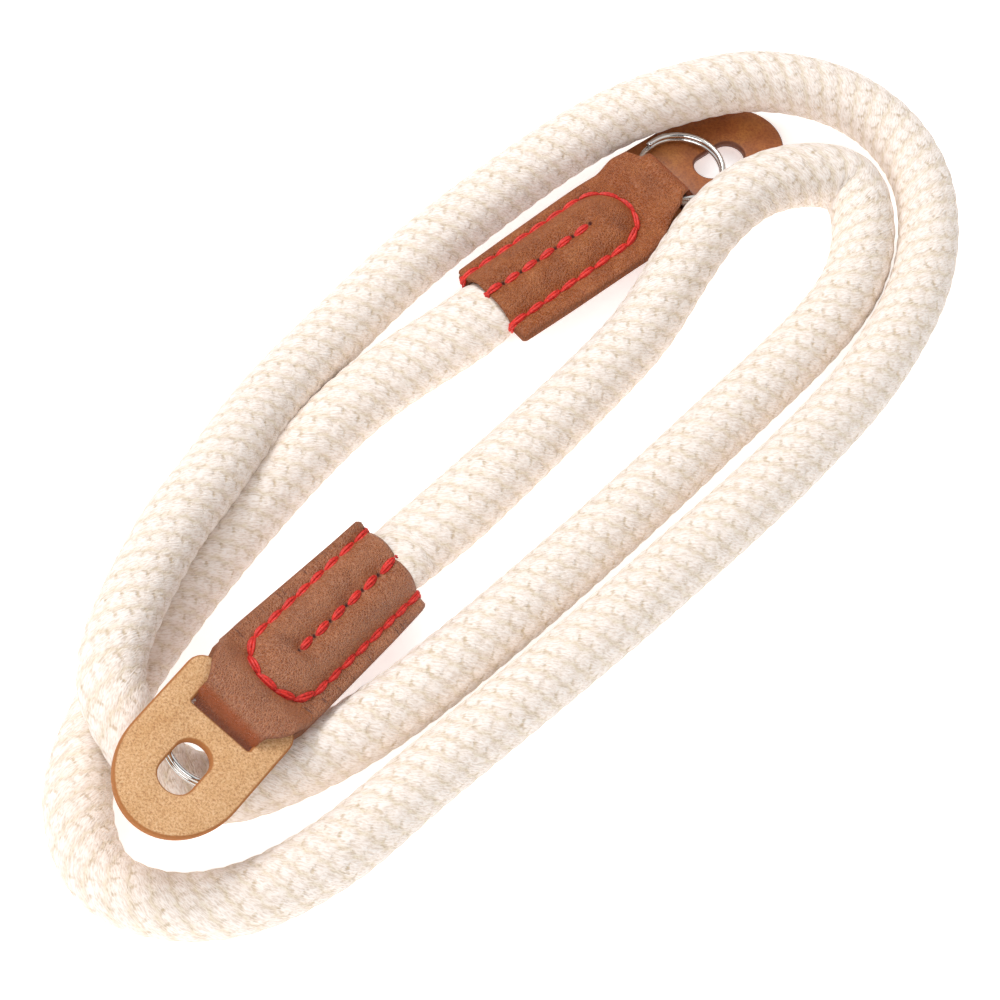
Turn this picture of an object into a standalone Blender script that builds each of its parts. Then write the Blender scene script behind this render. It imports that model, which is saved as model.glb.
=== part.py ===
"""Rope camera strap with two stitched leather ends, each holding a split ring and a leather patch.

Frame: origin at the centre of the bounding box's base, +X right and +Y away in the photo, +Z up from the surface that the strap lies on.
"""

import math

import bmesh
import bpy
import numpy as np
from mathutils import Matrix, Vector

MM = 0.001

# Rope: girth is the drawn diameter over the nominal one, lift is how far the underside is off the floor.
ROPE_DIAMETER = 12.0
ROPE_SAMPLES = 71
BEND_DRAW = 36.0
ROPE_FIELDS = ("x", "y", "lift", "girth")
ROPE_ROUTE = (
    (-27.0, 16.5, 0.0, 1.02),
    (-60.5, -31.0, 0.0, 1.00),
    (-71.0, -55.0, 0.0, 1.01),
    (-72.0, -67.0, 0.0, 1.01),
    (-67.0, -79.0, 0.0, 0.96),
    (-56.5, -84.0, 0.0, 0.96),
    (-43.5, -83.0, 0.0, 1.01),
    (-29.0, -75.0, 0.0, 1.03),
    (-13.0, -60.0, 0.0, 1.00),
    (22.5, -26.5, 0.0, 1.00),
    (55.0, 7.0, 0.0, 0.98),
    (70.0, 26.5, 0.0, 0.96),
    (79.5, 47.5, 0.0, 0.95),
    (80.5, 67.0, 0.0, 0.95),
    (74.5, 80.5, 0.1, 0.96),
    (64.5, 88.0, 0.9, 0.98),
    (50.0, 90.0, 2.7, 0.98),
    (34.5, 85.5, 4.4, 0.97),
    (19.0, 79.5, 2.3, 0.96),
    (-9.0, 57.0, 0.0, 1.00),
    (-32.5, 30.0, 0.5, 1.00),
    (-43.0, 14.0, 3.5, 1.00),
    (-51.5, -5.0, 9.4, 1.00),
    (-59.0, -20.5, 12.0, 1.00),
    (-66.5, -46.5, 12.3, 1.00),
    (-63.0, -55.5, 9.0, 1.00),
    (-57.0, -61.0, 3.8, 1.00),
    (-48.5, -62.5, 0.6, 1.00),
    (-35.0, -57.5, 0.0, 1.00),
    (-17.5, -45.5, 0.0, 1.02),
    (36.5, 8.5, 0.0, 1.00),
    (65.5, 43.5, 0.0, 0.98),
    (68.5, 60.0, 0.2, 1.00),
    (66.0, 66.5, 1.0, 1.02),
    (59.0, 67.0, 3.0, 1.02),
    (48.5, 62.5, 5.3, 1.00),
    (40.0, 54.0, 5.8, 1.00),
    (34.5, 46.5, 3.4, 0.99),
    (25.0, 31.5, 0.2, 1.00),
    (-6.0, -4.0, 0.3, 1.04),
)

# The gap between pieces that touch.
FIT = 0.25

# Leather ends: the rope is pressed a little where its pocket holds it, and a seam runs round the pocket.
LEATHER = 1.4
POCKET_SQUEEZE = 0.6
POCKET_DEPTH = 33.0
POCKET_SIDES = 20
SEAM_MARGIN = 1.9
FLANGE_MARGIN = 3.0
BLUNT = 6.0
NOSE = 1.1
ROPE_OUT = 5.0
POCKET_RADIUS = ROPE_DIAMETER / 2 - POCKET_SQUEEZE
SEAM_HALF = POCKET_RADIUS + SEAM_MARGIN
FLANGE_HALF = SEAM_HALF + FLANGE_MARGIN
DOME_STRAIGHT = POCKET_DEPTH - BLUNT
DOME_LENGTH = POCKET_DEPTH + LEATHER + NOSE

# Patch: a slot near its round-cornered end takes the leather's folded band, and a long hole follows it.
PATCH_THICK = 2.0
PATCH_HALF_WIDTH = 11.3
PATCH_MARGIN = 4.3
BAR_WIDTH = 3.3
BAR_CLEARANCE = 1.4
SLOT_TO_HOLE = 4.5
HOLE_LENGTH = 11.4
HOLE_TO_END = 8.9
HOLE_WIDTH = 6.5
CORNER = 1.4
SLOT_CORNER = 0.4
SLOT_HALF_WIDTH = PATCH_HALF_WIDTH - PATCH_MARGIN
BAR_FRONT = LEATHER + BAR_CLEARANCE
PATCH_BACK = BAR_FRONT + BAR_WIDTH

# Split ring: two turns of round wire, drawn as one ring with a groove between the turns.
RING_OUTER_RADIUS = 8.5
WIRE = 1.1
RELIEF = 0.85 * FIT

# Tunnel: the opening behind the fold, as high as the patch, the ring's two turns and the gaps between them.
TUNNEL_CLEARANCE = 0.9
TUNNEL_CHAMFER = 1.0
BAND_CLEARANCE = 0.6
TUNNEL_HALF = (PATCH_THICK + 2 * WIRE + 3 * FIT) / 2
TUNNEL_BACK = PATCH_BACK + TUNNEL_CLEARANCE
BAND_HALF = SLOT_HALF_WIDTH - BAND_CLEARANCE
STACK_HALF = TUNNEL_HALF + LEATHER
EDGE_CLOSES = (RING_OUTER_RADIUS - 1.3, RING_OUTER_RADIUS + 0.8)

# One row for each end. Mouth is where the rope goes in, with the leather's underside there lift above the floor.
# Yaw, pitch and roll turn the end's own axes (along, side, up), and tip is the pitch of its flat part beyond the pocket.
# Fold is the length from the mouth, and the patch's slot reaches slot_past it. The ring's back edge is ring_back before it.
# The ring lies over the patch at end a and under it at end b, where the leather's edges close up by edge_thin.
END_FIELDS = (
    "name", "x", "y", "lift", "yaw", "pitch", "roll", "tip", "fold",
    "slot_past", "patch_side", "ring_back", "ring_side", "patch_over", "edge_thin",
)  # fmt: skip
ENDS = (
    ("a", -1.9, 38.1, 0.1, 40.0, 0.0, 0.0, -6.0, 46.1, 1.1, 0.8, 5.7, 1.6, False, 0.0),
    ("b", -19.4, -18.9, 1.7, -125.6, 13.5, -20.5, 0.0, 48.4, 1.9, -0.2, 4.9, 0.4, True, 2.0),
)
# Plan outline of each end: along is a share of the length to the fold. Its two edges are shares of
# the flange's half width and, past the shoulder, of the folded band's.
OUTLINE_FIELDS = ("along", "right", "left")
SHOULDER = 0.918
OUTLINES = {
    "a": (
        (0.0, -0.98, 0.94),
        (0.22, -1.0, 0.96),
        (0.66, -1.03, 1.0),
        (0.77, -0.88, 0.99),
        (0.84, -0.75, 0.97),
        (0.907, -0.62, 0.95),
        (0.925, -0.92, 1.45),
        (0.937, -0.80, 1.11),
        (1.0, -0.67, 1.08),
    ),
    "b": (
        (0.0, -0.95, 0.95),
        (0.21, -0.98, 0.99),
        (0.66, -1.06, 1.03),
        (0.785, -1.06, 1.02),
        (0.878, -0.93, 0.91),
        (0.9195, -1.31, 1.28),
        (0.95, -1.06, 1.02),
        (1.0, -1.0, 0.97),
    ),
}

# The bounding box's middle, taken off every place above.
CENTRE = (4.2, 2.9, 0.0)

SLOTS = {
    "rope": ("cotton_rope", (0.80, 0.72, 0.58), 0.0, 0.9),
    "sheath": ("sheath_leather", (0.29, 0.13, 0.06), 0.0, 0.55),
    "patch": ("patch_leather", (0.50, 0.26, 0.11), 0.0, 0.7),
    "ring": ("ring_steel", (0.75, 0.75, 0.76), 1.0, 0.2),
}


def column(fields, row, name):
    return row[fields.index(name)]


def frame_of(end):
    """The end's own axes at its mouth: along, side and up."""
    yaw, pitch, roll = (math.radians(column(END_FIELDS, end, n)) for n in ("yaw", "pitch", "roll"))
    along = Vector((math.cos(yaw) * math.cos(pitch), math.sin(yaw) * math.cos(pitch), math.sin(pitch)))
    side = Vector((-math.sin(yaw), math.cos(yaw), 0.0))
    up = along.cross(side)
    turned_side = side * math.cos(roll) + up * math.sin(roll)
    turned_up = up * math.cos(roll) - side * math.sin(roll)
    x, y, lift = (column(END_FIELDS, end, n) for n in ("x", "y", "lift"))
    mouth = Vector((x, y, lift + POCKET_RADIUS + LEATHER)) - Vector(CENTRE)
    turn = Matrix((along, turned_side, turned_up)).transposed().to_4x4()
    return Matrix.Translation(mouth * MM) @ turn @ Matrix.Diagonal((MM, MM, MM, 1.0))


def droop_span(end):
    """Where the leather leaves the pocket's axis, and where it is straight again, behind the tunnel."""
    return DOME_STRAIGHT - 0.5 * BLUNT, column(END_FIELDS, end, "fold") - TUNNEL_BACK - LEATHER


def droop(along, end):
    """Height of the leather's middle over the pocket's axis: level, then a bend, then straight at the tip's pitch."""
    slope = math.tan(math.radians(column(END_FIELDS, end, "tip")))
    first, last = droop_span(end)
    bent = min(max(along, first), last) - first
    return slope * bent * bent / (2 * (last - first)) + slope * max(0.0, along - last)


def tip_frame(end):
    """The end's axes for the patch and the ring, turned to the tip's pitch about the middle of the leather."""
    last = droop_span(end)[1]
    tip = math.radians(column(END_FIELDS, end, "tip"))
    here = Matrix.Translation((last, 0.0, droop(last, end)))
    return frame_of(end) @ here @ Matrix.Rotation(-tip, 4, "Y") @ Matrix.Translation((-last, 0.0, 0.0))


def paint(obj, kind):
    slot, colour, metallic, roughness = SLOTS[kind]
    material = bpy.data.materials.new(slot + "_" + obj.name)
    material.use_nodes = True
    shader = material.node_tree.nodes["Principled BSDF"]
    shader.inputs["Base Color"].default_value = (*colour, 1.0)
    shader.inputs["Metallic"].default_value = metallic
    shader.inputs["Roughness"].default_value = roughness
    obj.data.materials.append(material)


def object_of(name, mesh, cutter=False):
    bmesh.ops.recalc_face_normals(mesh, faces=mesh.faces)
    data = bpy.data.meshes.new(name)
    mesh.to_mesh(data)
    mesh.free()
    obj = bpy.data.objects.new(name, data)
    bpy.context.scene.collection.objects.link(obj)
    if cutter:
        obj.hide_render = True
        obj.display_type = "WIRE"
    return obj


def cut(obj, cutter):
    modifier = obj.modifiers.new("cut_" + cutter.name, "BOOLEAN")
    modifier.operation = "DIFFERENCE"
    modifier.solver = "EXACT"
    modifier.object = cutter


def smooth_route(rows, samples):
    """Points on one smooth curve through the rows, closer together where it bends."""
    rows = np.array(rows, float)
    knots = np.concatenate([[0.0], np.cumsum(np.linalg.norm(np.diff(rows[:, :3], axis=0), axis=1) ** 0.5)])
    slopes = np.gradient(rows, knots, axis=0, edge_order=1)
    fine = []
    for i in range(len(rows) - 1):
        step = knots[i + 1] - knots[i]
        for t in np.linspace(0.0, 1.0, 24, endpoint=False):
            fine.append(
                (2 * t**3 - 3 * t**2 + 1) * rows[i]
                + (t**3 - 2 * t**2 + t) * step * slopes[i]
                + (3 * t**2 - 2 * t**3) * rows[i + 1]
                + (t**3 - t**2) * step * slopes[i + 1]
            )
    fine.append(rows[-1])
    fine = np.array(fine)
    steps = np.diff(fine[:, :3], axis=0)
    lengths = np.linalg.norm(steps, axis=1)
    ahead = steps / lengths[:, None]
    turns = np.concatenate([[0.0], np.arccos(np.clip((ahead[1:] * ahead[:-1]).sum(axis=1), -1.0, 1.0))])
    turns = np.convolve(turns, np.ones(25) / 25, "same")
    run = np.concatenate([[0.0], np.cumsum(lengths + BEND_DRAW * turns)])
    at = np.linspace(0.0, run[-1], samples)
    even = np.stack([np.interp(at, run, fine[:, k]) for k in range(fine.shape[1])], axis=1)
    even[:, 2] = np.maximum(even[:, 2], even[:, 3] * ROPE_DIAMETER / 2)
    return even


def in_end(end, along, girth):
    place = frame_of(end) @ Vector((along, 0.0, 0.0)) / MM
    return (*place, girth)


def rope_tip(end):
    """The rope's stretch in the pocket, from its rounded tip out to the mouth."""
    sides = math.cos(math.pi / POCKET_SIDES)
    radius = POCKET_RADIUS * sides - FIT
    straight = POCKET_DEPTH - POCKET_RADIUS
    points = []
    for angle in (66, 44, 20, 0):
        turn = math.radians(angle)
        points.append((straight + radius * math.sin(turn), radius * math.cos(turn)))
    points += [(straight / 2, radius), (-FIT, radius)]
    return [in_end(end, along, girth / (ROPE_DIAMETER / 2)) for along, girth in points]


def make_rope():
    rows = [in_end(ENDS[0], -ROPE_OUT, 1.0)]
    for x, y, lift, girth in ROPE_ROUTE:
        rows.append((x - CENTRE[0], y - CENTRE[1], lift + girth * ROPE_DIAMETER / 2, girth))
    rows.append(in_end(ENDS[1], -ROPE_OUT, 1.0))
    points = rope_tip(ENDS[0]) + list(smooth_route(rows, ROPE_SAMPLES)) + rope_tip(ENDS[1])[::-1]
    data = bpy.data.curves.new("rope", "CURVE")
    data.dimensions = "3D"
    data.bevel_depth = ROPE_DIAMETER / 2 * MM
    data.bevel_resolution = 4
    data.use_fill_caps = True
    spline = data.splines.new("POLY")
    spline.points.add(len(points) - 1)
    for point, (x, y, z, girth) in zip(spline.points, points):
        point.co = (x * MM, y * MM, z * MM, 1.0)
        point.radius = girth
    obj = bpy.data.objects.new("rope", data)
    bpy.context.scene.collection.objects.link(obj)
    paint(obj, "rope")


def dome_height(along, side):
    """How far the leather stands over the flange, where the rope's end fills it."""
    past = max(0.0, along - DOME_STRAIGHT) * SEAM_HALF / (DOME_LENGTH - DOME_STRAIGHT)
    out = math.hypot(past, side) / SEAM_HALF
    return POCKET_RADIUS * max(0.0, 1.0 - out**2) ** 0.6


def swell(along, fold):
    """The flange thickens from two leathers to the whole stack between the pocket's end and the tunnel."""
    first, last = POCKET_DEPTH - LEATHER, fold - TUNNEL_BACK - FIT
    rise = min(1.0, max(0.0, (along - first) / (last - first)))
    return rise * rise * (3.0 - 2.0 * rise)


def edge_rise(side, end):
    """How far the underside lifts towards the leather's edges, where no ring is."""
    first, last = EDGE_CLOSES
    return column(END_FIELDS, end, "edge_thin") * min(1.0, max(0.0, (abs(side) - first) / (last - first)))


def half_thickness(along, fold):
    """Half of the flange's thickness: two leathers, then the stack, then the round of the fold."""
    flange = LEATHER + (STACK_HALF - LEATHER) * swell(along, fold)
    bend = fold - STACK_HALF
    if along > bend:
        flange *= math.sqrt(max(0.03, 1.0 - ((along - bend) / STACK_HALF) ** 2))
    return flange


def edges_at(along, end):
    """The outline's right and left edges at a place along the end."""
    fold = column(END_FIELDS, end, "fold")
    rows = []
    for share, right, left in OUTLINES[column(END_FIELDS, end, "name")]:
        half = FLANGE_HALF if share < SHOULDER else BAND_HALF
        rows.append((share * fold, right * half, left * half))
    rows = np.array(rows)
    return (float(np.interp(along, rows[:, 0], rows[:, k])) for k in (1, 2))


def stations_of(end):
    """Places along the end where its section is drawn: closer together over the dome's nose and round the fold."""
    fold = column(END_FIELDS, end, "fold")
    bend = fold - STACK_HALF
    stations = [DOME_STRAIGHT * k / 6 for k in range(7)]
    stations += [DOME_STRAIGHT + (DOME_LENGTH - DOME_STRAIGHT) * share for share in (0.24, 0.47, 0.68, 0.85, 1.0)]
    stations += [DOME_LENGTH + (bend - DOME_LENGTH) * share for share in (0.3, 0.6, 0.85, 1.0)]
    return stations + [bend + STACK_HALF * math.sin(math.radians(a)) for a in (25, 45, 62, 76, 90)]


def make_sheath(end):
    name = column(END_FIELDS, end, "name")
    fold = column(END_FIELDS, end, "fold")
    stations = stations_of(end)
    seam = SEAM_HALF / FLANGE_HALF
    half_across = [seam * share for share in (0.25, 0.51, 0.73, 0.90, 0.99, 1.03)] + [(1.0 + seam) / 2, 1.0]
    across = [-share for share in reversed(half_across)] + [0.0] + half_across
    mesh = bmesh.new()
    top, low = [], []
    for along in stations:
        right, left = edges_at(along, end)
        half = half_thickness(along, fold)
        rows = ([], [])
        for share in across:
            side = (left + right) / 2 + share * (left - right) / 2
            height = half + dome_height(along, side)
            middle = droop(along, end)
            rows[0].append(mesh.verts.new((along, side, middle + height)))
            rows[1].append(mesh.verts.new((along, side, middle - height + edge_rise(side, end) * swell(along, fold))))
        top.append(rows[0])
        low.append(rows[1])
    for grid in (top, low):
        for i in range(len(stations) - 1):
            for k in range(len(across) - 1):
                mesh.faces.new((grid[i][k], grid[i + 1][k], grid[i + 1][k + 1], grid[i][k + 1]))
    for i in range(len(stations) - 1):
        for k in (0, -1):
            mesh.faces.new((top[i][k], top[i + 1][k], low[i + 1][k], low[i][k]))
    for k in range(len(across) - 1):
        for i in (0, -1):
            mesh.faces.new((top[i][k], top[i][k + 1], low[i][k + 1], low[i][k]))
    obj = object_of("sheath_" + name, mesh)
    obj.matrix_world = frame_of(end)
    paint(obj, "sheath")
    cut(obj, tunnel_cutter(end))
    cut(obj, ring_body("relief_" + name, end, RELIEF, True))
    cut(obj, pocket_cutter(end))
    return obj


def pocket_cutter(end):
    """The rope's hole: round, with a domed bottom."""
    straight = POCKET_DEPTH - POCKET_RADIUS
    profile = [(-LEATHER, POCKET_RADIUS), (straight, POCKET_RADIUS)]
    for angle in (25, 50, 72):
        turn = math.radians(angle)
        profile.append((straight + POCKET_RADIUS * math.sin(turn), POCKET_RADIUS * math.cos(turn)))
    mesh = bmesh.new()
    rings = []
    for along, radius in profile:
        ring = []
        for k in range(POCKET_SIDES):
            turn = 2.0 * math.pi * (k + 0.5) / POCKET_SIDES
            ring.append(mesh.verts.new((along, radius * math.cos(turn), radius * math.sin(turn))))
        rings.append(ring)
    for one, two in zip(rings, rings[1:]):
        for k in range(POCKET_SIDES):
            n = (k + 1) % POCKET_SIDES
            mesh.faces.new((one[k], one[n], two[n], two[k]))
    mesh.faces.new(rings[0])
    mesh.faces.new(rings[-1])
    obj = object_of("pocket_" + column(END_FIELDS, end, "name"), mesh, cutter=True)
    obj.matrix_world = frame_of(end)
    return obj


def prism(name, outline, low, high, end, cutter=False):
    """A flat piece with this plan outline, between two heights."""
    mesh = bmesh.new()
    bottom = [mesh.verts.new((x, y, low)) for x, y in outline]
    top = [mesh.verts.new((x, y, high)) for x, y in outline]
    mesh.faces.new(bottom)
    mesh.faces.new(top)
    for k in range(len(outline)):
        n = (k + 1) % len(outline)
        mesh.faces.new((bottom[k], bottom[n], top[n], top[k]))
    obj = object_of(name, mesh, cutter)
    obj.matrix_world = tip_frame(end)
    return obj


def tunnel_cutter(end):
    """The side-to-side opening that holds the patch's bar and the ring."""
    fold = column(END_FIELDS, end, "fold")
    back, front = fold - TUNNEL_BACK, fold - LEATHER
    mesh = bmesh.new()
    walls = []
    first, last = EDGE_CLOSES
    for side in (-last - FLANGE_HALF, -last, -first, first, last, last + FLANGE_HALF):
        low = -TUNNEL_HALF + edge_rise(side, end)
        section = (
            (back, low),
            (front - TUNNEL_CHAMFER, low),
            (front, low + TUNNEL_CHAMFER),
            (front, TUNNEL_HALF - TUNNEL_CHAMFER),
            (front - TUNNEL_CHAMFER, TUNNEL_HALF),
            (back, TUNNEL_HALF),
        )
        walls.append([mesh.verts.new((x, side, z)) for x, z in section])
    mesh.faces.new(walls[0])
    mesh.faces.new(walls[-1])
    for one, two in zip(walls, walls[1:]):
        for k in range(len(one)):
            n = (k + 1) % len(one)
            mesh.faces.new((one[k], one[n], two[n], two[k]))
    obj = object_of("tunnel_" + column(END_FIELDS, end, "name"), mesh, cutter=True)
    obj.matrix_world = tip_frame(end)
    return obj


def patch_heights(end):
    """The patch fills one half of the tunnel and the ring the other."""
    if column(END_FIELDS, end, "patch_over"):
        return TUNNEL_HALF - FIT - PATCH_THICK, TUNNEL_HALF - FIT
    return -TUNNEL_HALF + FIT, -TUNNEL_HALF + FIT + PATCH_THICK


def ring_height(end):
    low, high = patch_heights(end)
    return low - FIT - WIRE if column(END_FIELDS, end, "patch_over") else high + FIT + WIRE


def rounded_box(x0, x1, y0, y1, radius, steps=3):
    corners = ((x1 - radius, y1 - radius, 0), (x0 + radius, y1 - radius, 90), (x0 + radius, y0 + radius, 180), (x1 - radius, y0 + radius, 270))
    outline = []
    for x, y, start in corners:
        for k in range(steps + 1):
            turn = math.radians(start + 90.0 * k / steps)
            outline.append((x + radius * math.cos(turn), y + radius * math.sin(turn)))
    return outline


def make_patch(end):
    name = column(END_FIELDS, end, "name")
    fold = column(END_FIELDS, end, "fold")
    slot = fold + column(END_FIELDS, end, "slot_past")
    side = column(END_FIELDS, end, "patch_side")
    low, high = patch_heights(end)
    centre = slot + SLOT_TO_HOLE + HOLE_LENGTH + HOLE_TO_END - PATCH_HALF_WIDTH
    outline = []
    for k in range(19):
        turn = math.radians(-90.0 + 10.0 * k)
        outline.append((centre + PATCH_HALF_WIDTH * math.cos(turn), side + PATCH_HALF_WIDTH * math.sin(turn)))
    back = fold - PATCH_BACK
    for y, start in ((side + PATCH_HALF_WIDTH - CORNER, 90), (side - PATCH_HALF_WIDTH + CORNER, 180)):
        for k in range(4):
            turn = math.radians(start + 30.0 * k)
            outline.append((back + CORNER + CORNER * math.cos(turn), y + CORNER * math.sin(turn)))
    obj = prism("patch_" + name, outline, low, high, end)
    slot_sides = side - SLOT_HALF_WIDTH, side + SLOT_HALF_WIDTH
    slot_outline = rounded_box(fold - BAR_FRONT, slot, *slot_sides, SLOT_CORNER)
    cut(obj, prism("slot_" + name, slot_outline, low - PATCH_THICK, high + PATCH_THICK, end, cutter=True))
    hole, radius = slot + SLOT_TO_HOLE, HOLE_WIDTH / 2
    hole_outline = rounded_box(hole, hole + HOLE_LENGTH, side - radius, side + radius, 0.999 * radius, steps=6)
    cut(obj, prism("hole_" + name, hole_outline, low - PATCH_THICK, high + PATCH_THICK, end, cutter=True))
    paint(obj, "patch")
    return obj


def ring_body(name, end, grow, cutter):
    """Two turns of wire as one closed ring; grown, it's the room that the leather leaves for it."""
    radius = RING_OUTER_RADIUS - WIRE / 2
    section = []
    for middle, first in ((WIRE / 2, -30), (-WIRE / 2, 150)):
        for k in range(6):
            turn = math.radians(first + 48.0 * k)
            section.append(((WIRE / 2 + grow) * math.cos(turn), middle + (WIRE / 2 + grow) * math.sin(turn)))
    if grow:
        section = rounded_box(-WIRE / 2 - grow, WIRE / 2 + grow, -WIRE - grow, WIRE + grow, 0.3, steps=1)
    steps = 48
    height = ring_height(end)
    along = column(END_FIELDS, end, "fold") - column(END_FIELDS, end, "ring_back") + RING_OUTER_RADIUS
    side = column(END_FIELDS, end, "ring_side")
    mesh = bmesh.new()
    rings = []
    for k in range(steps):
        turn = 2.0 * math.pi * k / steps
        ring = []
        for out, up in section:
            reach = radius + out
            ring.append(mesh.verts.new((along + reach * math.cos(turn), side + reach * math.sin(turn), height + up)))
        rings.append(ring)
    count = len(section)
    for k in range(steps):
        one, two = rings[k], rings[(k + 1) % steps]
        for j in range(count):
            mesh.faces.new((one[j], two[j], two[(j + 1) % count], one[(j + 1) % count]))
    obj = object_of(name, mesh, cutter)
    obj.matrix_world = tip_frame(end)
    return obj


def main():
    for obj in list(bpy.data.objects):
        bpy.data.objects.remove(obj)
    make_rope()
    for end in ENDS:
        make_sheath(end)
        make_patch(end)
        ring = ring_body("ring_" + column(END_FIELDS, end, "name"), end, 0.0, False)
        paint(ring, "ring")


main()
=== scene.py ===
import math

import bmesh
import bpy
import numpy as np
from mathutils import Matrix, Vector


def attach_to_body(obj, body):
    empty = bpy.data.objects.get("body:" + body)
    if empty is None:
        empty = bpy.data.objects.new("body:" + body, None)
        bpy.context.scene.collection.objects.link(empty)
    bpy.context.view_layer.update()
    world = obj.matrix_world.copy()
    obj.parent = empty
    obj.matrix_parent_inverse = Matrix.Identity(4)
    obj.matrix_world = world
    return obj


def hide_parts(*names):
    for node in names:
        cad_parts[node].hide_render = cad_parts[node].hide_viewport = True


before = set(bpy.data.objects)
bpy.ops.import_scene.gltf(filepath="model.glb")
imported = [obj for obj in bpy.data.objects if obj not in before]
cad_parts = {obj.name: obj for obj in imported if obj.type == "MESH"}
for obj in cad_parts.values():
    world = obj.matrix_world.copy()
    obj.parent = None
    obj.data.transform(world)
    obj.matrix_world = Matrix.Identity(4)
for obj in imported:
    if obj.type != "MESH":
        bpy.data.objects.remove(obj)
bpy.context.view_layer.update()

mm = 0.001

# Sizes that several pieces share, in mm, as the part has them.
leather = 1.4  # thickness of the ends' leather
fit = 0.25     # gap between pieces that touch
pocket = {"radius": 5.4, "depth": 33.0}  # holds the rope's tip
tunnel = {"half": 2.475, "back": 7.0}    # holds the patch and the ring, this far back from the fold
stackHalf = tunnel["half"] + leather
bendFrom = 24.0  # how far from the mouth an end starts to bend to its tip's pitch
centre = Vector((4.2, 2.9, 0.0))  # taken off every place, so that the origin is under the middle

# The two leather ends. x, y and lift place the mouth, the angles are in degrees, and fold is the length.
# The slot reaches slotPast beyond the fold, and the ring's back edge is ringBack before it.
ends = {
    "a": {"x": -1.9, "y": 38.1, "lift": 0.1, "yaw": 40.0, "pitch": 0.0, "roll": 0.0, "tip": -6.0,
          "fold": 46.1, "slotPast": 1.1, "patchSide": 0.8, "ringBack": 5.7, "ringSide": 1.6,
          "patchOver": False, "edgeThin": 0.0},
    "b": {"x": -19.4, "y": -18.9, "lift": 1.7, "yaw": -125.6, "pitch": 13.5, "roll": -20.5, "tip": 0.0,
          "fold": 48.4, "slotPast": 1.9, "patchSide": -0.2, "ringBack": 4.9, "ringSide": 0.4,
          "patchOver": True, "edgeThin": 2.0},
}


def hexColour(code):
    parts = [int(code[i:i + 2], 16) / 255 for i in (1, 3, 5)]
    return tuple(p / 12.92 if p <= 0.04045 else ((p + 0.055) / 1.055) ** 2.4 for p in parts) + (1.0,)


def setInputs(tree, node, values):
    # A value is a number, a colour or the socket that feeds the input.
    for name, value in values.items():
        if isinstance(value, bpy.types.NodeSocket):
            tree.links.new(value, node.inputs[name])
        else:
            node.inputs[name].default_value = value


def addNode(tree, kind, settings=None, **inputs):
    # An input is named with _ for a blank, or numbered as i0, i1 and so on.
    node = tree.nodes.new("ShaderNode" + kind)
    for name, value in (settings or {}).items():
        if name == "stops":
            elements = node.color_ramp.elements
            while len(elements) < len(value):
                elements.new(0.5)
            for element, (spot, colour) in zip(elements, value):
                element.position = spot
                element.color = hexColour(colour)
        else:
            setattr(node, name, value)
    for name, value in inputs.items():
        numbered = name[0] == "i" and name[1:].isdigit()
        setInputs(tree, node, {int(name[1:]) if numbered else name.replace("_", " "): value})
    return node


blendColours = {"data_type": "RGBA", "blend_type": "MIX"}
multiplyColours = {"data_type": "RGBA", "blend_type": "MULTIPLY"}


def newMaterial(name):
    material = bpy.data.materials.new(name)
    material.use_nodes = True
    return material, material.node_tree, material.node_tree.nodes["Principled BSDF"]


def meshFromBmesh(name, bm):
    mesh = bpy.data.meshes.new(name)
    bm.to_mesh(mesh)
    bm.free()
    return mesh


def meshFromCurve(curve):
    obj = bpy.data.objects.new(curve.name, curve)
    mesh = bpy.data.meshes.new_from_object(obj)
    bpy.data.objects.remove(obj)
    return mesh


def linked(name, data):
    obj = bpy.data.objects.new(name, data)
    bpy.context.scene.collection.objects.link(obj)
    return obj


def smoothObject(name, mesh, material):
    mesh.shade_smooth()
    mesh.materials.append(material)
    return linked(name, mesh)


def attach(obj, slot, *nodes):
    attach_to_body(obj, "root")
    if nodes:
        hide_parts(*nodes)


def endFrame(end):
    # Takes an end's own mm (along, side and up from the middle of its mouth) to the scene's metres.
    yaw, pitch, roll = (math.radians(end[angle]) for angle in ("yaw", "pitch", "roll"))
    along = Vector((math.cos(yaw) * math.cos(pitch), math.sin(yaw) * math.cos(pitch), math.sin(pitch)))
    level = Vector((-math.sin(yaw), math.cos(yaw), 0.0))
    above = along.cross(level)
    side = level * math.cos(roll) + above * math.sin(roll)
    up = above * math.cos(roll) - level * math.sin(roll)
    mouth = Vector((end["x"], end["y"], end["lift"] + pocket["radius"] + leather)) - centre
    turn = Matrix((along, side, up)).transposed().to_4x4()
    return Matrix.Translation(mouth * mm) @ turn @ Matrix.Diagonal((mm, mm, mm, 1.0))


def bendSpan(end):
    return bendFrom, end["fold"] - tunnel["back"] - leather


def droop(along, end):
    # How far the end has risen or sunk by its bend, whose slope grows evenly to the tip's pitch.
    slope = math.tan(math.radians(end["tip"]))
    first, last = bendSpan(end)
    bent = np.clip(along, first, last) - first
    return slope * bent * bent / (2 * (last - first)) + slope * np.maximum(0.0, along - last)


def tipFrame(end):
    # As endFrame, for the patch and the ring, which lie in the flat part beyond the bend.
    last = bendSpan(end)[1]
    here = Matrix.Translation((last, 0.0, float(droop(last, end))))
    turn = Matrix.Rotation(-math.radians(end["tip"]), 4, "Y")
    return endFrame(end) @ here @ turn @ Matrix.Translation((-last, 0.0, 0.0))


def inWorld(matrix, points):
    turn = np.array(matrix)
    return np.asarray(points, float) @ turn[:3, :3].T + turn[:3, 3]


def lengthsAlong(points, power=1.0):
    steps = np.linalg.norm(np.diff(points, axis=0), axis=1) ** power
    return np.concatenate([[0.0], np.cumsum(steps)])


# Rope

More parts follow.
